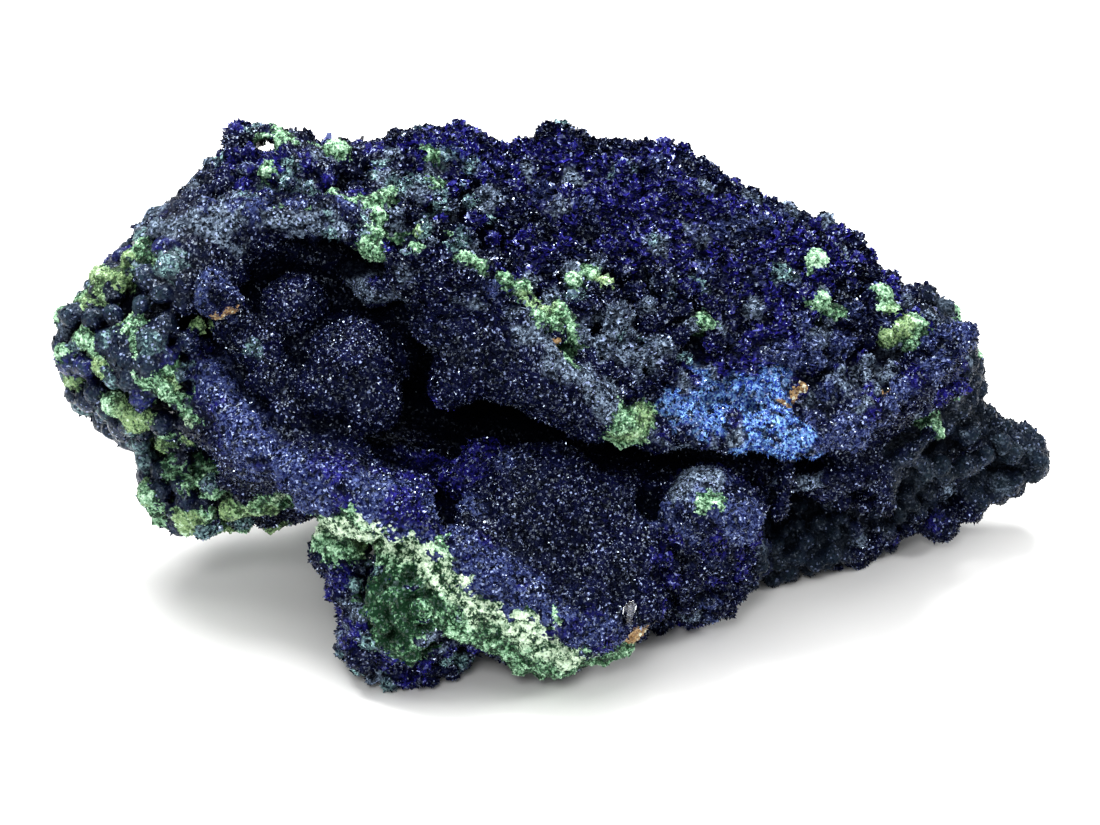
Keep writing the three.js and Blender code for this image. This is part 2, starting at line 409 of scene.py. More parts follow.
# Where each mineral lies. Spots give a place and how far the mineral spreads from it, paths a line and a
# reach. Ground is how much of it the spots carry at most, and beads are its small balls: spacing, least and
# greatest radius, and how deep they sit
stains = {
    "green": {"size": 1.6, "wander": 0.5, "seed": 41, "ground": 0.5, "beads": (1.25, 0.6, 1.1, 0.2),
     "spots": [
        (-50.4, -0.4, 36.2, 1.3), (-43.8, -8.2, 29.6, 1.2), (-41.4, -8.4, 27, 1.2), (-44.8, -5.8, 22, 1),
        (-46.5, -6.6, 15, 1), (-42, -7.2, 11, 1.1), (-36.4, -7.6, 12.7, 1.4), (-32.6, 10.4, 50, 1.6),
        (-31, 9.8, 48.4, 0.9), (-25.6, 9.2, 48.2, 1.1), (-23.8, 1.5, 45.8, 1.1), (-20.6, 0.4, 45, 1.2),
        (-17.4, -0.7, 44, 1.4), (-21, -3.3, 42.3, 1.3), (-10.6, -5.4, 41, 1.3), (-6.7, -5.8, 39.4, 1.8),
        (-4.6, -7, 38.2, 1.8), (-2.6, -9, 36.8, 2.2), (-1.2, -10.4, 34.8, 1.7), (6, -13.2, 27, 2.3),
        (4.4, -13.6, 28.6, 1.3), (39.7, 1.4, 19.8, 1.7), (42.2, 3.4, 22, 1), (14.4, -17.4, 19.4, 1),
        (-24.4, -17.4, 14.4, 2.2), (-1, -25, 3.6, 3.2), (-4.4, -25.4, 5, 3), (12, 24, 30, 4),
        (-27, 18, 18, 5), (33, 21, 14, 3.4), (-8, 23, 40, 2.6), (46, 19, 22, 2.6), (-45, 14, 26, 3),
        (0, 25, 13, 2.6), (-20, 3, 8, 4), (18, 12, 1, 5), (-36, 8, 10, 3.4)],
        "paths": [(malachiteEdge[:4], 1.6), (malachiteEdge[3:], 2.5), (malachiteEdge[6:], 3.1),
                  (malachiteEdge[8:], 3)]},
    "lime": {"size": 1.3, "wander": 0.5, "seed": 42, "ground": 0.8, "spots": [
        (-50.6, -1.6, 35, 4), (-46, -3, 38, 2.8), (-47, -7, 24, 3), (-42, -7, 12, 3),
        (6, -13, 27, 2.6), (33.6, 2, 31, 2.6), (-4, -8, 38, 2.2), (-17.4, -0.7, 44, 1.4),
        (-22.5, -17, 15, 2.4), (-34, -9, 15, 3)]},
    "moss": {"size": 1.2, "wander": 0.25, "seed": 51, "spots": [
        (-18, -23.6, 10.8, 4.8), (-17, -24.6, 7.4, 3), (-25.5, -16, 11.5, 2.4)]},
    "cream": {"size": 0.9, "wander": 0.6, "seed": 43, "spots": [
        (-11, -25.4, 12.6, 1.9), (-41, -8, 24.6, 1), (-52.6, -3.4, 22, 0.9), (5, -13.6, 28.2, 0.9),
        (-36.5, -8, 14.4, 1.6), (-2, -26, 7.2, 2.2), (-5.4, -26, 10.8, 2), (-2.8, -26, 9.2, 2.2),
        (0, -25.6, 6, 2)],
        "paths": [(creamEdge, 2.3)]},
    "ochre": {"size": 1, "wander": 0.45, "seed": 44, "beads": (0.9, 0.4, 0.7, 0.2),
     "spots": [
        (-37.8, -7.2, 37.8, 1), (-36.4, -7.2, 37.2, 1.1), (24.8, -6, 27.4, 0.7), (22.6, -7.6, 26.2, 0.7),
        (33.8, -5.4, 26.6, 0.7), (-1.6, -11.6, 35.2, 0.7), (-4, -10.6, 36.4, 0.6), (6.8, -23, 6.4, 0.8),
        (20, 23, 20, 1.8), (-14, 24, 34, 1.6), (6, 0, 0, 6)]},
    "pale": {"size": 1.4, "wander": 0.6, "seed": 45, "ground": 0.8, "beads": (1.1, 0.4, 0.9, 0.45),
     "spots": [
        (4.4, -7, 35.5, 2), (6.5, -9, 32.3, 2), (9, -8, 32.2, 2.3), (2, -9.5, 33.5, 1.8),
        (12, -9.4, 29.4, 1.6), (-46, 6, 42, 2), (-41.6, 6.8, 45.2, 1.5), (29, -5, 27.6, 2.8),
        (33, -3, 28.4, 2.2), (27, -1, 31, 2), (-13, -24.5, 6.4, 1.6), (-10.8, -23.8, 10.4, 1.4),
        (-24, -22, 9, 1), (-17, 4, 45.6, 1.8), (-20, 6, 46, 1.4), (9, 3.8, 40.2, 1.6),
        (12.6, -15.6, 20.2, 2.6), (-30, -2, 44.6, 1.4), (-36, 0, 44, 1.8), (-40, 0.6, 43.4, 1.8)],
        "paths": [(rims["upper left"], 1.9), (rims["wall"], 1.4), (rims["middle"], 1.4),
                  (rims["right"][:3], 1.1), (rims["right"][3:], 0.7), (ridges["outer right"], 0.4),
                  (ridges["right flank"], 0.5), (ridges["tail"], 0.5),
                  (ridges["ledge"], 0.5), (ridges["low right"], 0.4), (lip, 0.7)]},
    "violet": {"size": 2.6, "wander": 0.8, "seed": 46, "ground": 0.75, "beads": (1.9, 0.8, 1.9, 0.5),
     "spots": [
        (-37.4, -6, 39.4, 2.4), (14, -15.8, 17, 4.2), (-40, -7.6, 27.6, 2), (26, -2, 30, 3),
        (-8, -14, 18, 3)],
        "paths": [(lip, 1.8), (rims["upper left"], 1.2), (rims["right"][3:], 1.3)]},
    "sky": {"size": 1.8, "wander": 0.9, "seed": 47, "ground": 0.8, "beads": (1.1, 0.5, 0.9, 0.35),
     "spots": [
        (14.5, -9, 27.8, 3.2), (18.4, -8.2, 26.2, 3.4), (16.6, -9.4, 25.2, 2.4), (20.6, -8.6, 24.6, 2.4),
        (11, -9.6, 28, 1.6)],
        "paths": [(rims["right"][1:4], 1.4)]},
    "teal": {"size": 1.2, "wander": 0.6, "seed": 48, "ground": 0.7, "spots": [
        (-16.6, 6.7, 46.6, 1.9), (-19, 5, 46, 1.6), (-33.8, -8, 33, 1.3), (8.9, 4.4, 40.4, 1),
        (-50, -5, 30, 1.3), (-46.4, -7, 32.4, 1.3), (-43, -8.4, 32.6, 1), (-34, 1.6, 46.6, 1.4),
        (-24, 0.8, 44.6, 1.1), (24, -6.6, 25, 1), (-10.4, -24.2, 9, 1.2)]},
    "deep": {"size": 2.4, "wander": 0.8, "seed": 49, "spots": [
        (-12, 10, 47.5, 7), (0, 10, 45, 7), (12, 8, 41, 8), (24, 8, 37, 7),
        (-9.3, -10.5, 20.6, 3.6), (-13.2, -11.4, 20, 3.8), (-14, -7, 23, 5), (9.7, -19, 10, 2.4),
        (22, -2, 31.6, 4.6), (15, -7, 29, 5), (-24.6, -20, 8, 3), (-19, -19.6, 20.6, 3.8),
        (-34, 6, 47, 3.6), (2, -17, 12, 3.4), (36, 6, 33, 3.2), (-26, -18, 24, 3.6), (-22, -1, 40, 2.6),
        (0, 24, 38, 6), (-30, 20, 36, 6), (28, 24, 30, 6), (16, -8, 27.5, 6)],
        "paths": [(lip, 2.4)]},
    "dull": {"size": 3, "wander": 0.3, "seed": 50, "spots": [
        (48, 10, 22, 12), (52, 10, 10, 9), (38, 2, 12, 8), (24, -4, 5, 9)],
        "paths": [([(-34, 8, -7), (46, 9, -7)], 10)]},
}
beadMinerals = []   # the mineral of each small ball, in the order in which they grow
beadAt = np.full(field.shape, -1, np.int32)
beadGap = np.full(field.shape, 0.8, np.float32)


def addBead(centre, radius, mineral):
    # a small ball, which each cell of the grid near it remembers
    spans, gap = gapToBall(centre, radius, blends["bead"])
    grow(spans, gap, blends["bead"])
    closer = gap < beadGap[spans]
    beadAt[spans] = np.where(closer, len(beadMinerals), beadAt[spans])
    beadGap[spans] = np.where(closer, gap, beadGap[spans])
    beadMinerals.append(mineral)


def pathGap(places, path):
    # distance from each place to a bent line
    best = np.full(len(places), 1e9)
    for start, end in zip(path, path[1:]):
        start, along = np.array(start, float), np.array(end, float) - np.array(start, float)
        share = np.clip((places - start) @ along / max(along @ along, 1e-6), 0, 1)
        best = np.minimum(best, np.linalg.norm(places - start - share[:, None] * along, axis=1))
    return best


def weightOf(name, places):
    # 1 well inside a stain, 0 outside, with an edge that wanders in wide and finer waves
    stain = stains[name]
    finer, gone, fade = 2.2, 1.05, 0.3
    best = np.full(len(places), 9.0)
    for *place, reach in stain["spots"]:
        best = np.minimum(best, np.linalg.norm(places - np.array(place), axis=1) / reach)
    for path, reach in stain.get("paths", []):
        best = np.minimum(best, pathGap(places, path) / reach)
    best += stain["wander"] * wobble(places, stain["size"], stain["seed"])
    best += 0.5 * stain["wander"] * wobble(places, stain["size"] / finer, stain["seed"] + 200)
    return np.clip((gone - best) / fade, 0, 1)


def ellipsoidReach(places, zone):
    # below 1 inside a zone, given by its centre and half sizes
    centre, half = np.array(zone[0], float), np.array(zone[1], float)
    return (((places - centre) / half) ** 2).sum(axis=1)


def scatterPlaces(points, spacing, seed):
    # points taken in random order, each kept when none kept before lies within the spacing
    order = np.random.default_rng(seed).permutation(len(points))
    cells = np.floor(points[order] * 2.5 / spacing).astype(int)
    order = order[np.sort(np.unique(cells, axis=0, return_index=True)[1])]
    kept = {}
    for point in points[order]:
        home = np.floor(point / spacing).astype(int)
        rivals = [other for step in np.ndindex(3, 3, 3) for other in kept.get(tuple(home + step - 1), [])]
        if not rivals or np.linalg.norm(np.array(rivals) - point, axis=1).min() >= spacing:
            kept.setdefault(tuple(home), []).append(point)
    return np.array([point for group in kept.values() for point in group]).reshape(-1, 3)


def inward(points):
    # unit direction into the mass, from the slope of the distances
    at = np.rint((points - gridStart) / crust["cell"]).astype(int)
    at = np.clip(at, 1, np.array(field.shape) - 2)
    slope = np.empty((len(points), 3))
    for axis in range(3):
        step = np.zeros(3, int)
        step[axis] = 1
        slope[:, axis] = field[tuple((at - step).T)] - field[tuple((at + step).T)]
    return slope / np.maximum(np.linalg.norm(slope, axis=1), 1e-6)[:, None]


def digZone(zone, depth):
    # lowers the surface inside a zone, less towards its edge, so that the balls grown there stand apart
    centre, half = zone
    spans, x, y, z = near([c - h for c, h in zip(centre, half)], [c + h for c, h in zip(centre, half)])
    reach = sum(((at - middle) / side) ** 2 for at, middle, side in zip((x, y, z), centre, half))
    field[spans] += (depth * np.clip(3 * (1 - reach), 0, 1)).astype(np.float32)


plain = surfaceOf(field)[0]
taken = np.zeros(len(plain), bool)
for space in openSpaces:
    taken |= ellipsoidReach(plain, space) < 1
balls = []
for zone, spacing, radii, sunk, _, seed, mix in botryoids:
    here = (ellipsoidReach(plain, zone) < 1) & ~taken
    taken |= here
    spots = scatterPlaces(plain[here], spacing, seed)
    draw = np.random.default_rng(seed + 100)
    sizes = draw.uniform(*radii, len(spots))
    centres = spots + inward(spots) * (sizes * sunk)[:, None]
    shares = list(mix.values())
    names = draw.choice(list(mix) + [""], len(spots), p=shares + [1 - sum(shares)])
    balls += zip(centres, sizes, names)
for zone, _, _, _, depth, _, _ in botryoids:
    digZone(zone, depth)
for centre, size, mineral in balls:
    addBead(centre, size, mineral)
print("botryoids:", len(balls))

singles = [
    # balls that stand out one by one: mineral, place near the surface and radius
    ("green", 26.9, 5.4, 36.4, 1.15), ("green", 26.4, 2.2, 34.4, 1.1), ("green", 34.6, 2.6, 32.0, 1.2),
    ("lime", 36.2, 1.6, 31.0, 1.3), ("green", 38.2, 2.2, 30.6, 1.3), ("lime", 34.0, 0.8, 30.8, 1.1),
    ("green", 37.4, 0.2, 29.6, 1.1), ("green", 39.4, 1.2, 29.2, 1.1), ("green", 34.2, 5.2, 33.4, 1.1),
    ("green", 27.4, 7.6, 37.4, 0.9), ("green", -0.4, -4, 39.4, 1.0), ("lime", 3.4, -2.8, 38.4, 0.9),
    ("green", -33.4, 5, 48.0, 0.9), ("green", -25.6, 9.2, 49, 1.1), ("teal", -30, 7, 48, 1.0),
    ("pale", 4.4, -6.8, 36.2, 1.5), ("pale", 7.4, -8.8, 33, 1.4), ("pale", 9.6, -7.6, 32.6, 1.6),
    ("pale", 1.6, -6.4, 36.6, 1.2), ("teal", -12, -1.0, 43, 1.2), ("teal", -14.6, 3.6, 44.6, 1.0),
    ("lime", -52.3, -0.4, 34.6, 1.5), ("lime", -50.8, 1.0, 37.0, 1.4), ("lime", -49.0, -0.6, 37.2, 1.5),
    ("lime", -47.4, 0.8, 39.2, 1.2), ("green", -54.6, 0.2, 32.2, 1.3), ("green", -51.2, -4.2, 31.8, 1.0),
    ("lime", -50.4, -5.2, 30.0, 1.2), ("green", -46.8, -5.0, 34.2, 1.2), ("green", -45.4, -6.6, 32.0, 1.3),
    ("green", -45.2, -7.4, 29.8, 1.3), ("green", -42.8, -7.0, 31.2, 1.2), ("lime", -42.6, -7.6, 28.6, 1.1),
    ("teal", -48.6, -4.8, 33.0, 1.1), ("teal", -53.4, -2.8, 31.4, 1.1), ("deep", -54.4, -2.6, 28.8, 1.6),
    ("green", -43.2, -1.6, 40.6, 0.9), ("lime", -46.0, -5.8, 14.2, 1.4), ("lime", -42.2, -7.4, 12.8, 1.5),
    ("green", -39.6, -7.6, 13.4, 1.2), ("teal", -40.4, -7.4, 11.0, 1.4), ("lime", -37.0, -8.8, 14.2, 1.3),
]
standing = 0.2   # how far the middle of a single ball lies outside the surface, as a share of its radius
skin = surfaceOf(field)[0]
for mineral, *place, radius in singles:
    spot = skin[np.linalg.norm(skin - place, axis=1).argmin()][None]
    addBead((spot - standing * radius * inward(spot))[0], radius, mineral)

beadFrom = 0.4   # how strong a stain has to be for its small balls to grow
bumpy = surfaceOf(field)[0]
for name, stain in stains.items():
    if "beads" in stain:
        spacing, smallest, largest, sunk = stain["beads"]
        spots = scatterPlaces(bumpy[weightOf(name, bumpy) > beadFrom], spacing, stain["seed"])
        sizes = np.random.default_rng(stain["seed"] + 300).uniform(smallest, largest, len(spots))
        for centre, size in zip(spots + inward(spots) * (sizes * sunk)[:, None], sizes):
            addBead(centre, size, name)
print("balls in all:", len(beadMinerals))

underBun = [(9.5, -18.2, 15.4), (12.5, -19.6, 13.8), (17, -18.6, 13.4), (20, -15.4, 14.4)]
holeRadius = 0.8
cutHollows(lateHollows.values(), "late hollow")
cutSlots([(underBun, holeRadius)], "slot")
for spacing, height, seed in crust["lumps"]:
    field += height * lumpLayer(spacing, seed)
for side in (-0.5, 0.5):   # small hole under the arch, right through
    cutSlots([([(-33.6 + side, 2, 53.2), (-33.6 + side, 24, 42.0)], holeRadius)], "arch hole")
field = np.maximum(field, (crust["underside"] - gridAxes[2])[None, None, :].astype(np.float32))


def thinned(places, faces, count):
    # the same surface with fewer faces, where they matter least
    mesh = bpy.data.meshes.new("thinning")
    mesh.from_pydata(places.tolist(), [], faces.tolist())
    thing = bpy.data.objects.new("thinning", mesh)
    scene.collection.objects.link(thing)
    thinner = thing.modifiers.new("thin", "DECIMATE")
    thinner.ratio = min(1, count / len(faces))
    graph = bpy.context.evaluated_depsgraph_get()
    mesh = bpy.data.meshes.new_from_object(thing.evaluated_get(graph), depsgraph=graph)
    bpy.data.objects.remove(thing)
    places, faces = arraysOf(mesh)
    bpy.data.meshes.remove(mesh)
    return places.astype(float), faces


points, faces = largestPart(*surfaceOf(field))
print("crust surface:", len(faces), "faces before thinning")
points, faces = thinned(points, faces, crust["faces"])
print("crust surface:", len(faces), "faces from", points.min(0).round(1), "to", points.max(0).round(1))

layout = {
    # how the layers that the finishes read come from the shape and the stains
    "mottle": 1.9,          # size of the waves in which the chalky blues come and go
    "sink": 0.1,            # how far short of level a place may be and still count as sheltered
    "painted shade edge": 2.5,       # how sharply the painted shade inside a hollow begins
    "glow relief": 0.6,     # how proud the balls with the painted glow count as at least, so the painted shade of sunk places spares them
    "walls": 1.08,          # how far past an open space its walls lie, as a multiple of its size
    "lip": 2.2,             # reach of the lip, which is no wall
    "bare from": -38,       # left of this the balls show, fully so after the next number
    "bare over": 5,
    "dull bare": 0.55,      # how bare a dull place is
    "crust rate": 1.3,      # how fast the crystals give way to malachite, cream and ochre
    "bare rate": 0.85,      # how much they thin out where balls show
    "sunk": (0.2, 0.3),     # relief at which crystals begin, and the span over which they reach full cover
    "least": 0.3,           # cover in the gaps
    "sheltered": 0.5,       # how much they thin out deep inside
}
mottling = {"pale": (0.8, 1.6), "violet": (0.8, 1.6), "sky": (1, 2), "teal": (0.8, 1.6)}   # level and depth

# How much of each mineral lies at each point of the crust, from 0 to 1
weights = {name: stain.get("ground", 1.0) * weightOf(name, points) for name, stain in stains.items()}
nearest = np.rint((points - gridStart) / crust["cell"]).astype(int)
bead = beadAt[tuple(np.clip(nearest, 0, np.array(field.shape) - 1).T)]
mineral = np.array(beadMinerals + [""])[bead]
for name in stains:
    weights[name] = np.maximum(weights[name], mineral == name)
weights["green"] = np.maximum(weights["green"], np.maximum(mineral == "lime", weights["moss"]))
for name, (level, depth) in mottling.items():
    waves = wobble(points, layout["mottle"], stains[name]["seed"] + 400)
    weights[name] *= np.clip(level + depth * waves, 0.05, 1)
rise, hollow = (readAt(soften(field.copy(), crust[reach]), (points - gridStart) / crust["cell"])
                for reach in ("relief", "shelter"))
weights["relief"] = np.clip(0.5 + 0.5 * rise / crust["relief"], 0, 1)
# shelter: how sunk a place lies, raised in the zones above; it is painted shade in the colour, and it thins
# and dims the crystals
weights["shelter"] = np.clip(layout["sink"] - hollow / crust["shelter"], 0, 1)
for space in paintedShadeZones:
    paintedShade = np.clip(layout["painted shade edge"] * (1 - ellipsoidReach(points, space)), 0, 1)
    weights["shelter"] = np.maximum(weights["shelter"], paintedShade)
paintedGlow = np.zeros(len(points))
for name in ("ultramarine", "deep glow"):   # the ultramarine of azurite, laid on these balls as a painted glow where light catches inside the vug, with the painted shade taken off them
    centre, radius = druseBalls[name]
    paintedGlow = np.maximum(paintedGlow, np.clip(3 - 2 * np.linalg.norm(points - np.array(centre), axis=1) / radius, 0, 1))
weights["deep"] = np.maximum(weights["deep"], paintedGlow)
weights["shelter"] *= 1 - paintedGlow
weights["relief"] = np.maximum(weights["relief"], layout["glow relief"] * paintedGlow)
crusted = np.maximum(weights["green"], np.maximum(weights["cream"], weights["ochre"]))
inHollow = np.zeros(len(points), bool)
for centre, half in openSpaces:
    inHollow |= ellipsoidReach(points, (centre, [h * layout["walls"] for h in half])) < 1
inHollow &= pathGap(points, lip) > layout["lip"]
leftBalls = np.clip((layout["bare from"] - points[:, 0]) / layout["bare over"], 0, 1) * ~inHollow
# Where balls show without a coat of crystals, then how much of the ground crystals cover
weights["bare"] = np.maximum(leftBalls, layout["dull bare"] * weights["dull"])
weights["cover"] = np.clip(1 - layout["crust rate"] * crusted, 0, 1)
weights["cover"] *= 1 - layout["bare rate"] * weights["bare"]
begin, span = layout["sunk"]
proud = np.clip((weights["relief"] - begin) / span, layout["least"], 1)
weights["cover"] *= proud * (1 - layout["sheltered"] * weights["shelter"])
print("minerals laid out:", {name: round(float(w.mean()), 3) for name, w in weights.items()})
for name in ("relief", "shelter"):
    print(name + " spread:", np.percentile(weights[name], [5, 25, 50, 75, 95]).round(2))


def meshFrom(name, places, faces, layers):
    mesh = bpy.data.meshes.new(name)
    mesh.from_pydata((places * mm).tolist(), [], faces.tolist())
    for layer, values in layers.items():
        mesh.attributes.new(layer, "FLOAT", "POINT").data.foreach_set("value", values.astype(np.float32))
    return mesh


def objectFrom(name, mesh):
    thing = bpy.data.objects.new(name, mesh)
    scene.collection.objects.link(thing)
    return thing


def feed(tree, node, values):
    # links what comes out of other nodes and sets plain values
    for socket, value in values.items():
        if isinstance(value, bpy.types.NodeSocket):
            tree.links.new(value, node.inputs[socket])
        else:
            node.inputs[socket].default_value = value


def addNode(tree, kind, sockets=None, **settings):
    node = tree.nodes.new(kind)
    for setting, value in settings.items():
        setattr(node, setting, value)
    feed(tree, node, sockets or {})
    return node


def valueOf(tree, value):
    # the name of a layer stands for its values on the mesh
    if isinstance(value, str):
        return addNode(tree, "ShaderNodeAttribute", attribute_name=value).outputs["Fac"]
    return value


def worked(tree, operation, first, second):
    sockets = {0: valueOf(tree, first), 1: valueOf(tree, second)}
    return addNode(tree, "ShaderNodeMath", sockets, operation=operation).outputs[0]


def product(tree, first, second):
    return worked(tree, "MULTIPLY", first, second)


def ranged(tree, value, low, high, toLow=0.0, toHigh=1.0):
    sockets = {"Value": valueOf(tree, value), "From Min": low, "From Max": high,
               "To Min": toLow, "To Max": toHigh}
    return addNode(tree, "ShaderNodeMapRange", sockets).outputs[0]


def colourOf(value):
    # the name of a tint, or its red, green and blue, stands for a plain colour
    value = tints[value] if isinstance(value, str) else value
    return (*value, 1) if isinstance(value, tuple) else value


def blended(tree, weight, under, over):
    sockets = {0: weight, 6: colourOf(under), 7: colourOf(over)}
    return addNode(tree, "ShaderNodeMix", sockets, data_type="RGBA").outputs[2]


def tinted(tree, colour, tint, value, low, high, toLow=0.0, toHigh=1.0):
    # a colour taken towards a tint, as far as the value says
    return blended(tree, ranged(tree, value, low, high, toLow, toHigh), colour, tint)


def pattern(tree, kind, size):
    # a pattern with features of the given size in millimetres, fixed to the object
    place = addNode(tree, "ShaderNodeTexCoord").outputs["Object"]
    return addNode(tree, kind, {"Vector": place, "Scale": 1 / (size * mm)}).outputs


def grainNoise(tree, size):
    return pattern(tree, "ShaderNodeTexNoise", size)["Fac"]


def cellsOf(tree, size):
    # random values for each tiny cell, together and one by one
    cells = pattern(tree, "ShaderNodeTexVoronoi", size)["Color"]
    return cells, addNode(tree, "ShaderNodeSeparateXYZ", {0: cells}).outputs


def vectorWorked(tree, operation, sockets):
    return addNode(tree, "ShaderNodeVectorMath", sockets, operation=operation).outputs[0]


def facetNormal(tree, cells, lean):
    # the surface leans another way in each cell, as the faces of small crystals do
    away = vectorWorked(tree, "MULTIPLY_ADD", {0: cells, 1: (2 * lean,) * 3, 2: (-lean,) * 3})
    normal = addNode(tree, "ShaderNodeNewGeometry").outputs["Normal"]
    return vectorWorked(tree, "NORMALIZE", {0: vectorWorked(tree, "ADD", {0: normal, 1: away})})


tints = {
    "night": (0.0012, 0.0018, 0.006),
    "navy": (0.0055, 0.0080, 0.030),
    "slate": (0.010, 0.015, 0.020),
    "ultramarine": (0.032, 0.026, 0.29),
    # painted glint: the pale blue-white laid on a few grains as light caught on their facets
    "painted glint": (0.44, 0.53, 0.84),
    "dark malachite": (0.010, 0.034, 0.016),
    "malachite": (0.10, 0.22, 0.12),
    "mint": (0.33, 0.54, 0.36),
    # near-white of malachite, laid mostly on the proudest tops as a painted highlight
    "painted highlight frost": (0.68, 0.88, 0.70),
    "lime": (0.27, 0.36, 0.14),
    "cream": (0.74, 0.79, 0.64),
    "rust": (0.15, 0.08, 0.035),
    "ochre": (0.42, 0.29, 0.15),
    # painted sheen laid on the proud tops of bare balls
    "painted sheen": (0.022, 0.042, 0.058),
}
skyTint = (0.72, 0.84, 1.0, 1)   # highlights of azurite
azuriteIor, malachiteIor, clearIor = 1.73, 1.6, 1.53
# The chalky and bright blues, each from its darkest to its lightest grain
blues = {
    "pale": ((0.007, 0.013, 0.026), (0.33, 0.42, 0.55)),
    "violet": ((0.006, 0.009, 0.060), (0.105, 0.14, 0.31)),
    "teal": ((0.006, 0.022, 0.034), (0.40, 0.64, 0.64)),
    "sky": ((0.010, 0.030, 0.28), (0.34, 0.64, 1.0)),
}


def blueColour(tree, chance, fine, paintedGlintChance):
    # navy to ultramarine, then the other blues, then painted glints and painted shade; chance, fine and the
    # glint chance vary at random from grain to grain
    mood = ranged(tree, grainNoise(tree, 4.0), 0.36, 0.64)
    ground = tinted(tree, "night", "navy", grainNoise(tree, 1.4), 0.35, 0.65)
    rich = worked(tree, "ADD", ranged(tree, "deep", 0, 1, 0.03, 1.0), product(tree, mood, 0.16))
    colour = blended(tree, product(tree, ranged(tree, chance, 0.3, 1.0), rich), ground, "ultramarine")
    lightness = worked(tree, "POWER", fine, 2.0)
    amount = ranged(tree, chance, 0.1, 0.5)
    for name, (darkest, lightest) in blues.items():
        here = product(tree, ranged(tree, name, 0.2, 0.8), amount)
        colour = blended(tree, here, colour, blended(tree, lightness, darkest, lightest))
    # painted shade: small random spots taken towards near-black, standing for pits between the grains
    colour = tinted(tree, colour, "night", grainNoise(tree, 0.8), 0.38, 0.48, 0.88, 0)
    # painted glints: a few grains, chosen at random and more of them in some patches, taken towards the
    # painted glint colour
    bright = product(tree, ranged(tree, paintedGlintChance, 0.95, 0.97), ranged(tree, mood, 0, 1, 0.4, 0.85))
    colour = blended(tree, bright, colour, "painted glint")
    # painted shade: sunk places, and the gaps between bare balls, taken towards near-black
    colour = tinted(tree, colour, "night", "relief", 0.26, 0.56, 0.9, 0)
    gaps = product(tree, ranged(tree, "relief", 0.44, 0.74, 0.92, 0), "bare")
    colour = blended(tree, gaps, colour, "night")
    colour = tinted(tree, colour, "slate", "dull", 0, 1, 0, 0.6)
    # painted shade: sheltered places are taken almost to black
    return tinted(tree, colour, "night", "shelter", 0.14, 0.9, 0, 0.95)


def openness(tree):
    # crystals deep inside or in a dull place glint less
    deepest = worked(tree, "MAXIMUM", "shelter", product(tree, "dull", 0.6))
    return ranged(tree, deepest, 0.1, 0.95, 1, 0.15)


def greenColour(tree, chance):
    # dark in the gaps and mint to near-white on what stands proud, which is painted shade and painted
    # highlight, shifted by random tone, moss, cream and small painted pit shade
    rise = ranged(tree, "relief", 0.2, 1.0, 0.26, 0.76)
    # the relief term above is painted light and shade; the last noise term below adds painted shade for small
    # pits
    for value, low, high, toLow, toHigh in (
            (grainNoise(tree, 0.7), 0.3, 0.7, -0.28, 0.28), (chance, 0, 1, -0.24, 0.2),
            ("moss", 0, 1, 0, -0.34), ("cream", 0, 1, 0, 0.17), (grainNoise(tree, 1.1), 0.34, 0.44, -0.4, 0)):
        rise = worked(tree, "ADD", rise, ranged(tree, value, low, high, toLow, toHigh))
    colour = tinted(tree, "dark malachite", "malachite", rise, 0.30, 0.56)
    colour = tinted(tree, colour, "mint", rise, 0.50, 0.76)
    limeAmount = product(tree, "lime", ranged(tree, rise, 0.35, 0.75, 0.1, 0.8))
    colour = blended(tree, limeAmount, colour, "lime")
    creamAmount = product(tree, "cream", ranged(tree, rise, 0.4, 0.9, 0.0, 0.85))
    colour = blended(tree, creamAmount, colour, "cream")
    return tinted(tree, colour, "painted highlight frost", rise, 0.76, 1.0, 0, 0.9)


def crustFinish(tree):
    cells, part = cellsOf(tree, 0.24)
    colour = blueColour(tree, grainNoise(tree, 0.5), part[0], part[1])
    # painted sheen: the proud tops of bare balls are lightened towards a grey-blue
    top = product(tree, ranged(tree, "relief", 0.55, 0.9), "bare")
    top = product(tree, top, ranged(tree, grainNoise(tree, 0.35), 0.35, 0.65, 0.1, 1.0))
    colour = blended(tree, top, colour, "painted sheen")
    ragged = ranged(tree, grainNoise(tree, 0.6), 0.35, 0.65, -0.35, 0.35)
    rusty = blended(tree, part[0], "rust", "ochre")
    for layer, over in (("green", greenColour(tree, part[0])), ("ochre", rusty)):
        colour = tinted(tree, colour, over, worked(tree, "ADD", layer, ragged), 0.4, 0.6)
    chalk = worked(tree, "MAXIMUM", "pale", "green")
    glossy = ranged(tree, "bare", 0, 1, 0.05, 0.16)
    shine = worked(tree, "MAXIMUM", ranged(tree, part[2], 0.75, 0.95, 0.05, 0.9), glossy)
    bump = addNode(tree, "ShaderNodeBump", {"Height": grainNoise(tree, 0.35), "Strength": 0.9,
                                            "Distance": 0.14 * mm, "Normal": facetNormal(tree, cells, 0.28)})
    return {"Base Color": colour, "Roughness": ranged(tree, chalk, 0, 1, 0.28, 0.7),
            "Specular IOR Level": product(tree, shine, openness(tree)), "Specular Tint": skyTint,
            "Normal": bump.outputs[0], "IOR": malachiteIor}


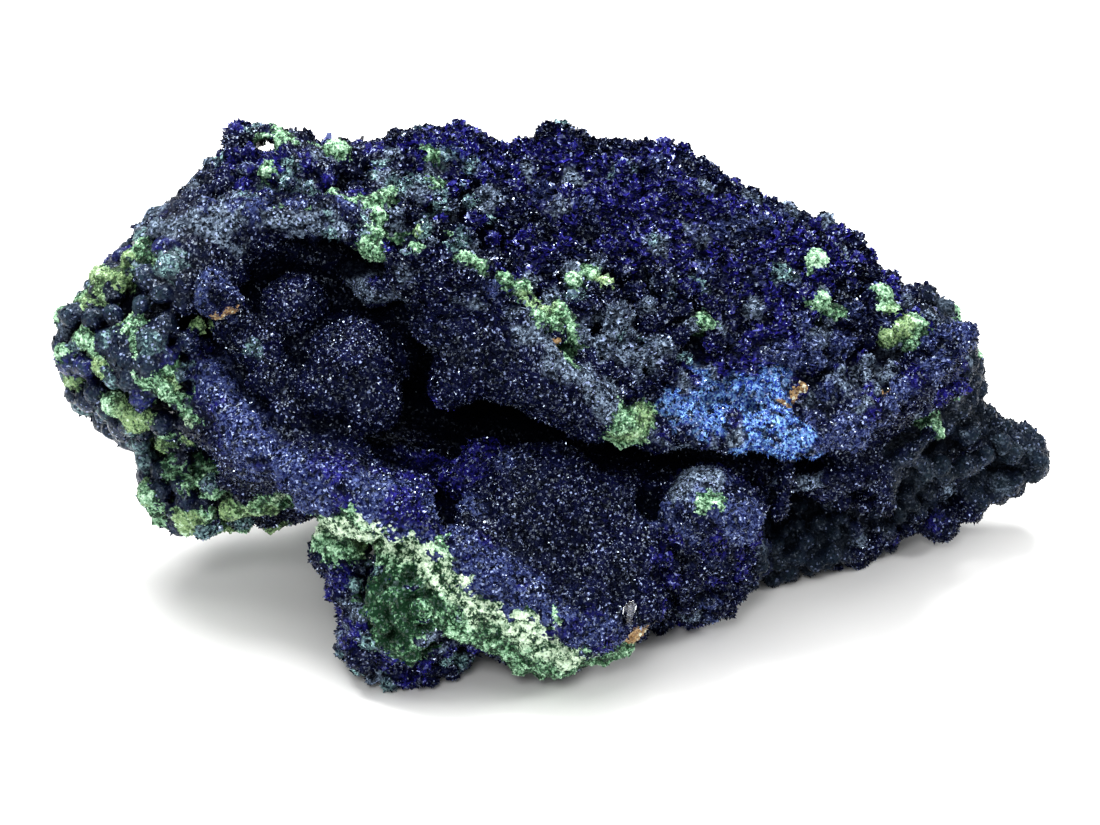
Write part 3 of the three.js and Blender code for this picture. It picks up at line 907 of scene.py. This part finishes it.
def druseFinish(tree):
    cells, part = cellsOf(tree, 0.2)
    tone = valueOf(tree, "tone")
    # crystals of the highest tone also get the painted glint
    paintedGlintChance = worked(tree, "MAXIMUM", part[1], ranged(tree, tone, 0, 1, 0.0, 0.97))
    chalk = worked(tree, "MAXIMUM", "pale", "dull")
    shine = worked(tree, "MAXIMUM", ranged(tree, tone, 0.7, 0.95, 0.03, 1.0),
                   ranged(tree, part[2], 0.8, 0.95, 0.02, 0.95))
    return {"Base Color": blueColour(tree, tone, part[0], paintedGlintChance),
            "Roughness": ranged(tree, chalk, 0, 1, 0.12, 0.42),
            "Specular IOR Level": product(tree, shine, openness(tree)), "Specular Tint": skyTint,
            "Normal": facetNormal(tree, cells, 0.3), "IOR": azuriteIor}


def malachiteFinish(tree):
    return {"Base Color": greenColour(tree, "tone"), "IOR": malachiteIor,
            "Roughness": ranged(tree, grainNoise(tree, 0.5), 0.3, 0.7, 0.45, 0.8)}


def ochreFinish(tree):
    fine = ranged(tree, grainNoise(tree, 0.4), 0.35, 0.65)
    colour = blended(tree, fine, "rust", "ochre")
    colour = tinted(tree, colour, "cream", "tone", 0.5, 1.0, 0, 0.8)
    colour = tinted(tree, colour, "navy", "tone", 0.0, 0.3, 0.8, 0)
    return {"Base Color": colour, "Roughness": ranged(tree, fine, 0, 1, 0.6, 0.85)}


def clearFinish(tree):
    return {"Base Color": (0.93, 0.96, 1.0, 1), "Transmission Weight": 1.0, "IOR": clearIor,
            "Roughness": ranged(tree, grainNoise(tree, 0.9), 0.45, 0.7, 0.02, 0.16)}


def floorFinish(tree):
    return {"Base Color": (0.86, 0.86, 0.85, 1), "Roughness": 0.55}


def finish(name, socketsOf):
    material = bpy.data.materials.new(name)
    material.use_nodes = True
    tree = material.node_tree
    feed(tree, tree.nodes["Principled BSDF"], socketsOf(tree))
    return material


azuriteCrust = finish("azurite crust", crustFinish)
azuriteDruse = finish("azurite druse", druseFinish)
malachiteGrain = finish("malachite grain", malachiteFinish)
ochreGrain = finish("ochre grain", ochreFinish)
clearBlade = finish("clear blade", clearFinish)
print("finishes made")

# The crust itself
crustMesh = meshFrom("crust", points, faces, weights)
crustMesh.polygons.foreach_set("use_smooth", np.ones(len(faces), bool))
crustPiece = objectFrom("crust", crustMesh)
crustMesh.materials.append(azuriteCrust)
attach(crustPiece, "root")
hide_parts("azurite_mass")
print("crust made")

# Crystals and grains are scattered over the crust by one kind of tree
normals = np.empty(len(points) * 3, np.float32)
crustMesh.vertex_normals.foreach_get("vector", normals)
normals = normals.reshape(-1, 3)
faceMiddle = points[faces].mean(axis=1)
faceNormal = normals[faces].mean(axis=1)

# A chisel-ended blade, a sliver for the finest druse and a rounded grain, all of unit size and standing on Z
shapes = {
    "blade": ([(-0.5, -0.5, -0.4), (0.5, -0.5, -0.4), (0.5, 0.5, -0.4), (-0.5, 0.5, -0.4), (-0.34, 0, 0.8),
               (0.34, 0, 0.8)],
              [(0, 3, 2, 1), (0, 1, 5, 4), (2, 3, 4, 5), (1, 2, 5), (3, 0, 4)]),
    "shard": ([(-0.5, -0.35, -0.35), (0.5, -0.3, -0.3), (0, 0.55, -0.35), (0.1, 0, 0.7)],
              [(0, 2, 1), (0, 1, 3), (1, 2, 3), (2, 0, 3)]),
    "grain": ([(0.5, 0, 0), (0, 0.45, 0.05), (-0.48, 0.03, 0), (0.02, -0.5, 0), (0, 0.05, 0.5),
               (0, 0, -0.45)],
              [(0, 1, 4), (1, 2, 4), (2, 3, 4), (3, 0, 4), (1, 0, 5), (2, 1, 5), (3, 2, 5), (0, 3, 5)]),
}
forms = {}
for name, (corners, sides) in shapes.items():
    mesh = bpy.data.meshes.new(name)
    mesh.from_pydata(corners, [], sides)
    forms[name] = bpy.data.objects.new(name, mesh)

growth = {
    # how the copies of a form vary within a patch
    "crowding": 1.6,          # points tried in a square as wide as the spacing
    "size": (0.6, 1.35),      # least and greatest share of the size that a patch asks for
    "shortest": 0.8,          # least length of a copy; the greatest is the habit's
    "widening": 1.8,          # greatest width, as a multiple of the habit's
    "height": (0.7, 1.4),
}


def scatterTree():
    tree = bpy.data.node_groups.new("scatter on crust", "GeometryNodeTree")
    face = tree.interface
    face.new_socket("Geometry", in_out="INPUT", socket_type="NodeSocketGeometry")
    for name, kind in (("Form", "Object"), ("Finish", "Material"), ("Spacing", "Float"), ("Size", "Float"),
                       ("Tilt", "Float"), ("Turn", "Float"), ("Slimness", "Float"), ("Length", "Float"),
                       ("Seed", "Int")):
        face.new_socket(name, in_out="INPUT", socket_type="NodeSocket" + kind)
    face.new_socket("Geometry", in_out="OUTPUT", socket_type="NodeSocketGeometry")
    given = addNode(tree, "NodeGroupInput").outputs

    def named(layer):
        node = addNode(tree, "GeometryNodeInputNamedAttribute", {"Name": layer}, data_type="FLOAT")
        return node.outputs["Attribute"]

    def vector(x, y, z):
        return addNode(tree, "ShaderNodeCombineXYZ", {0: x, 1: y, 2: z}).outputs[0]

    def scaled(value, factor):
        return vectorWorked(tree, "SCALE", {0: value, "Scale": factor})

    def anyVector(low, high, seed):
        sockets = {0: low, 1: high, "Seed": seed}
        return addNode(tree, "FunctionNodeRandomValue", sockets, data_type="FLOAT_VECTOR").outputs[0]

    def anyFloat(low, high, seed):
        return addNode(tree, "FunctionNodeRandomValue", {2: low, 3: high, "Seed": seed}).outputs[1]

    spacing, slimness = given["Spacing"], given["Slimness"]
    density = worked(tree, "DIVIDE", growth["crowding"], product(tree, spacing, spacing))
    spread = addNode(tree, "GeometryNodeDistributePointsOnFaces", {
        "Mesh": given["Geometry"], "Distance Min": spacing, "Density Max": density,
        "Density Factor": named("cover"), "Seed": given["Seed"]}, distribute_method="POISSON").outputs
    toned = addNode(tree, "GeometryNodeStoreNamedAttribute", {
        "Geometry": spread["Points"], "Name": "tone", "Value": anyFloat(0.0, 1.0, 5)},
        data_type="FLOAT", domain="POINT").outputs[0]
    swing = vector(given["Tilt"], given["Tilt"], given["Turn"])
    angles = anyVector(scaled(swing, -1.0), swing, 6)
    turn = addNode(tree, "FunctionNodeEulerToRotation", {"Euler": angles}).outputs[0]
    stand = addNode(tree, "FunctionNodeRotateRotation", {
        "Rotation": spread["Rotation"], "Rotate By": turn}, rotation_space="LOCAL").outputs[0]
    least = vector(growth["shortest"], slimness, growth["height"][0])
    greatest = vector(given["Length"], product(tree, slimness, growth["widening"]), growth["height"][1])
    proportions = anyVector(least, greatest, 7)
    reach = product(tree, anyFloat(*growth["size"], 8), product(tree, named("grain"), given["Size"]))
    form = addNode(tree, "GeometryNodeObjectInfo", {"Object": given["Form"], "As Instance": True})
    copies = addNode(tree, "GeometryNodeInstanceOnPoints", {
        "Points": toned, "Instance": form.outputs["Geometry"], "Rotation": stand,
        "Scale": scaled(proportions, reach)})
    solid = addNode(tree, "GeometryNodeRealizeInstances", {"Geometry": copies.outputs[0]})
    dressed = addNode(tree, "GeometryNodeSetMaterial", {
        "Geometry": solid.outputs[0], "Material": given["Finish"]})
    addNode(tree, "NodeGroupOutput", {"Geometry": dressed.outputs[0]})
    return tree


scatter = scatterTree()
socketOf = {item.name: item.identifier for item in scatter.interface.items_tree if item.in_out == "INPUT"}
habits = {
    # form of the crystals, how far they turn about their own axis, how slim and how long they are
    "shard": {"form": "shard", "turn": math.pi, "slim": 0.6, "long": 1.3},
    "blade": {"form": "blade", "turn": 0.7, "slim": 0.25, "long": 2.2},
    "back blade": {"form": "blade", "turn": 1.2, "slim": 0.35, "long": 1.8},
    "grain": {"form": "grain", "turn": math.pi, "slim": 0.7, "long": 1.3},
}


def scattered(name, ground, layers, patch, seed):
    # layers are the mineral weights, the share of ground that is covered and a factor on the size of a grain
    used, places = np.unique(ground, return_inverse=True)
    layers = {layer: values[used] for layer, values in layers.items()}
    base = objectFrom(name + " base", meshFrom(name, points[used], places.reshape(ground.shape), layers))
    grower = base.modifiers.new("scatter", "NODES")
    grower.node_group = scatter
    habit = habits[patch["habit"]]
    inputs = {"Form": forms[habit["form"]], "Finish": patch["finish"], "Spacing": patch["spacing"] * mm,
              "Size": patch["size"] * mm, "Tilt": patch["tilt"], "Turn": habit["turn"],
              "Slimness": habit["slim"], "Length": habit["long"], "Seed": seed}
    for socket, value in inputs.items():
        grower[socketOf[socket]] = value
    graph = bpy.context.evaluated_depsgraph_get()
    grown = base.evaluated_get(graph)
    mesh = bpy.data.meshes.new_from_object(grown, preserve_all_data_layers=True, depsgraph=graph)
    base.modifiers.remove(grower)
    bpy.data.objects.remove(base)
    mesh.name = name
    piece = objectFrom(name, mesh)
    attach(piece, "root")
    mesh.calc_loop_triangles()
    print(name + ":", len(mesh.loop_triangles), "triangles")


towardViewer = np.array([0, -0.891, 0.454])   # from the specimen to the camera
across, upward = faceMiddle[:, 0], faceNormal[:, 2]
front = faceNormal @ towardViewer > -0.12
hollowFace = inHollow[faces].any(axis=1)
onSlope = front & ~hollowFace & (faceMiddle[:, 2] > 29) & (across > -20) & (across < 42) & (upward > 0.1)
plainFront = front & ~hollowFace & ~onSlope
leftEnd = across < -18
below = upward < -0.35
druse = {
    # the faces that a patch grows on, the habit, spacing and size of its crystals, and how far they lean
    "druse_vug": (front & hollowFace & ~leftEnd, "shard", 0.21, 0.35, 0.8),
    "druse_bowl": (front & hollowFace & leftEnd, "shard", 0.22, 0.36, 0.8),
    "druse_slope_left": (onSlope & (across < 8), "blade", 0.29, 0.42, 0.6),
    "druse_slope_right": (onSlope & (across >= 8), "blade", 0.29, 0.42, 0.6),
    "druse_left_end": (plainFront & leftEnd, "shard", 0.30, 0.34, 0.6),
    "druse_front": (plainFront & ~leftEnd & (across < 16), "shard", 0.22, 0.34, 0.7),
    "druse_right_end": (plainFront & (across >= 16), "shard", 0.27, 0.36, 0.7),
    "druse_back_left": (~front & ~below & (across < 0), "back blade", 0.42, 0.48, 0.65),
    "druse_back_right": (~front & ~below & (across >= 0), "back blade", 0.42, 0.48, 0.65),
    "druse_underside": (~front & below, "shard", 0.5, 0.5, 0.6),
}
grainSize = 0.8 + 0.4 * weights["relief"] - 0.35 * np.maximum(weights["pale"], weights["dull"])
for number, (name, (ground, habit, spacing, size, tilt)) in enumerate(druse.items()):
    patch = {"habit": habit, "spacing": spacing, "size": size, "tilt": tilt, "slot": "azurite",
             "finish": azuriteDruse}
    scattered(name, faces[ground], dict(weights, grain=grainSize), patch, number)

everywhere = np.ones(len(faces), bool)
grains = {
    # the mineral that the grains follow, where they lie, spacing and size, slot and finish
    "malachite_front": ("green", front, 0.24, 0.32, "malachite", malachiteGrain),
    "malachite_rear": ("green", ~front, 0.45, 0.6, "malachite", malachiteGrain),
    "ochre_grains": ("ochre", everywhere, 0.35, 0.42, "limonite", ochreGrain),
}
proud = np.clip((weights["relief"] - 0.25) / 0.2, 0, 1)
for number, (name, (mineral, side, spacing, size, slot, look)) in enumerate(grains.items(), 40):
    amount = weights[mineral]
    cover = np.clip(1.6 * amount - 0.6, 0, 1) * (1 - 0.6 * weights["moss"]) * proud
    ground = faces[side & (amount[faces].max(axis=1) > 0.05)]
    patch = {"habit": "grain", "spacing": spacing, "size": size, "tilt": 1.0, "slot": slot, "finish": look}
    scattered(name, ground, dict(weights, cover=cover, grain=np.ones(len(points))), patch, number)
for form in forms.values():
    bpy.data.objects.remove(form)

# One clear blade that stands in the low druse: a flattened six-sided prism with a slanting end
clear = {
    "foot": (5.6, -24.0, 8.6), "top": (5.9, -24.9, 12.2), "half": (0.75, 0.35),
    "tip": 0.7, "tip scale": 0.35,   # length of the narrowing end, and what is left of the section there
}


def clearCrystal():
    foot, top = Vector(clear["foot"]), Vector(clear["top"])
    turn = (top - foot).to_track_quat("Z", "Y")
    length = (top - foot).length
    corners = []
    for height, scale in ((0, 1), (length - clear["tip"], 1), (length, clear["tip scale"])):
        wide, deep = (half * scale for half in clear["half"])
        for step in range(6):
            angle = math.pi / 3 * step
            corner = Vector((wide * math.cos(angle), deep * math.sin(angle), height))
            corners.append((foot + turn @ corner) * mm)
    walls = []
    for ring in (0, 6):
        walls += [(ring + a, ring + (a + 1) % 6, ring + 6 + (a + 1) % 6, ring + 6 + a) for a in range(6)]
    mesh = bpy.data.meshes.new("clear_crystal")
    mesh.from_pydata(corners, [], [tuple(range(5, -1, -1)), *walls, tuple(range(12, 18))])
    mesh.materials.append(clearBlade)
    piece = objectFrom("clear_crystal", mesh)
    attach(piece, "root")


clearCrystal()
print("clear crystal made")

# Floor, light and camera
floorHalf = 3   # metres
floor = objectFrom("floor", bpy.data.meshes.new("floor"))
corners = [(x * floorHalf, y * floorHalf, 0) for x, y in ((-1, -1), (1, -1), (1, 1), (-1, 1))]
floor.data.from_pydata(corners, [], [(0, 1, 2, 3)])
floor.data.materials.append(finish("floor", floorFinish))

lights = {
    # where each square lamp hangs in millimetres, its side, and how bright its face is
    "key": {"place": (-220, 100, 480), "side": 140, "bright": 27.0},
    "overhead": {"place": (80, 190, 520), "side": 160, "bright": 24.0},
    "canopy": {"place": (-40, -60, 640), "side": 520, "bright": 2.2},
    "side": {"place": (420, -60, 300), "side": 110, "bright": 20.0},
    "fill": {"place": (-60, -380, 330), "side": 140, "bright": 13.0},
}
aim = Vector((0, 0, 20))   # the middle of the specimen
for name, light in lights.items():
    data = bpy.data.lights.new(name, "AREA")
    data.size = light["side"] * mm
    data.energy = light["bright"] * math.pi * data.size ** 2
    lamp = objectFrom(name, data)
    lamp.location = Vector(light["place"]) * mm
    lamp.rotation_euler = (aim * mm - lamp.location).to_track_quat("-Z", "Y").to_euler()

view = {"target": (-2.5, -1.0, 22.0), "elevation": 27.0, "distance": 300.0, "lens": 89.3, "ambient": 0.5}
camData = bpy.data.cameras.new("camera")
camData.lens = view["lens"]
camera = objectFrom("camera", camData)
rise = math.radians(view["elevation"])
away = Vector((0, -math.cos(rise), math.sin(rise)))
camera.location = Vector(view["target"]) * mm + away * view["distance"] * mm
camera.rotation_euler = (math.pi / 2 - rise, 0, 0)
scene.camera = camera
world = bpy.data.worlds.new("world")
scene.world = world
world.use_nodes = True
background = world.node_tree.nodes["Background"]
feed(world.node_tree, background, {"Color": (1, 1, 1, 1), "Strength": view["ambient"]})
scene.view_settings.view_transform = "Standard"
scene.view_settings.look = "Medium High Contrast"
print("floor, lights and camera set")
